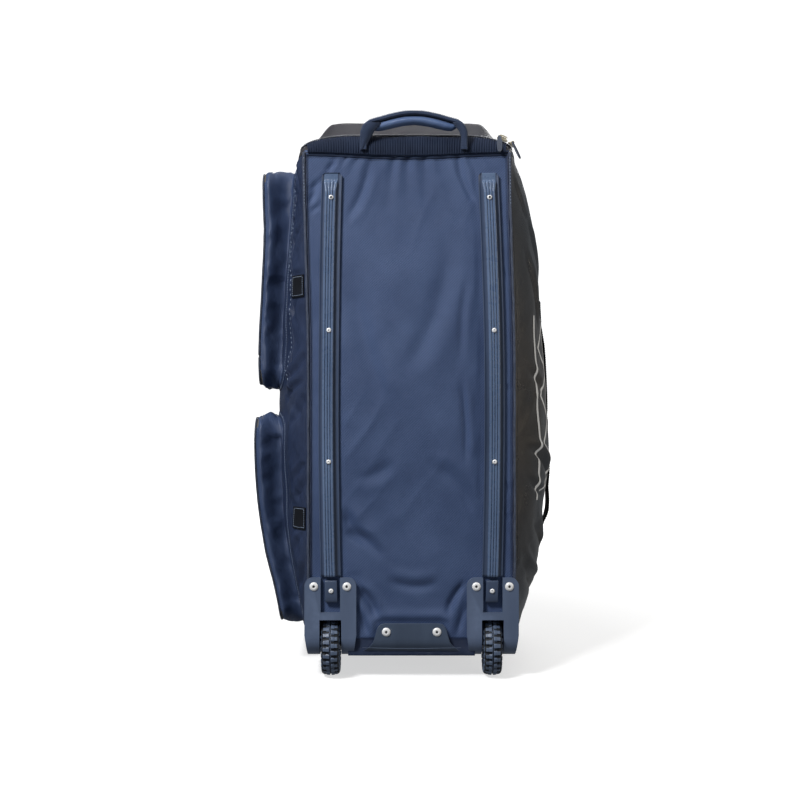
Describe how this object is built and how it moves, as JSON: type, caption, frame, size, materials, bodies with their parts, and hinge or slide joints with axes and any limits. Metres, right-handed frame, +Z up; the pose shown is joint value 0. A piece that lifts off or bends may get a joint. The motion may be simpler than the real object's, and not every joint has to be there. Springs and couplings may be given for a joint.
{
  "type": "wheeled cricket kit bag",
  "caption": "Tall wheeled kit bag stood on end, with side pockets, skid rails, wheel housings, kick plate, grab handle and zipped lid.",
  "frame": {"origin": "middle of the bounding box's footprint, on the floor that the bag stands on", "axes": "+Z up along the bag's length, from its wheels to its grab handle; the base panel with the skid rails looks towards -Y; +X to the right of someone who looks at that panel"},
  "size_m": [0.5374, 0.452, 0.9636],
  "materials": {
    "navy_fabric": "woven, matt with a faint sheen",
    "coated_fabric": "coated, low sheen",
    "pocket_fabric": "woven, matt",
    "piping": "smooth cord cover",
    "ribbed_band": "ribbed, matt",
    "handle_webbing": "webbing, slight sheen",
    "black_webbing": "woven webbing, matt",
    "hard_plastic": "satin moulded",
    "tyre": "moulded rubber",
    "hub": "moulded",
    "steel": "bright plated",
    "zip_chain": "moulded coil",
    "slider_metal": "plated, satin",
    "pull_rubber": "soft moulded"
  },
  "bodies": {
    "bag": {"base_panel": "navy_fabric", "side_panel_right": "coated_fabric", "side_panel_left": "navy_fabric", "lid_panel": "coated_fabric", "top_panel": "coated_fabric", "bottom_panel": "navy_fabric", "piping_left": "piping", "piping_right": "piping", "ribbed_band": "ribbed_band", "grab_handle_strap": "handle_webbing", "grab_handle_roll": "handle_webbing", "wheel_housing_left": "hard_plastic", "skid_rail_left": "hard_plastic", "housing_screw_left_a": "steel", "housing_screw_left_b": "steel", "rail_screw_left_1": "steel", "rail_screw_left_2": "steel", "rail_screw_left_3": "steel", "rail_screw_left_4": "steel", "axle_left": "steel", "wheel_housing_right": "hard_plastic", "skid_rail_right": "hard_plastic", "housing_screw_right_a": "steel", "housing_screw_right_b": "steel", "rail_screw_right_1": "steel", "rail_screw_right_2": "steel", "rail_screw_right_3": "steel", "rail_screw_right_4": "steel", "axle_right": "steel", "kick_plate": "hard_plastic", "kick_screw_a": "steel", "kick_screw_b": "steel", "main_zip": "zip_chain", "zip_slider_a": "slider_metal", "zip_pull_a": "pull_rubber", "zip_slider_b": "slider_metal", "zip_pull_b": "pull_rubber", "pocket_upper": "pocket_fabric", "pocket_upper_piping": "piping", "pocket_lower": "pocket_fabric", "pocket_lower_piping": "piping", "carry_handle_right": "black_webbing", "carry_handle_left": "black_webbing", "strap_tab_upper": "black_webbing", "strap_tab_lower": "black_webbing"},
    "wheel_left": {"tyre_left": "tyre", "hub_left": "hub"},
    "wheel_right": {"tyre_right": "tyre", "hub_right": "hub"}
  },
  "joints": [
    {"name": "wheel_left_spin", "type": "hinge", "parent": "bag", "child": "wheel_left", "pos_m": [-0.12887, -0.1782, 0.0483], "axis": [1, 0, 0], "continuous": true},
    {"name": "wheel_right_spin", "type": "hinge", "parent": "bag", "child": "wheel_right", "pos_m": [0.14713, -0.1782, 0.0483], "axis": [1, 0, 0], "continuous": true}
  ]
}
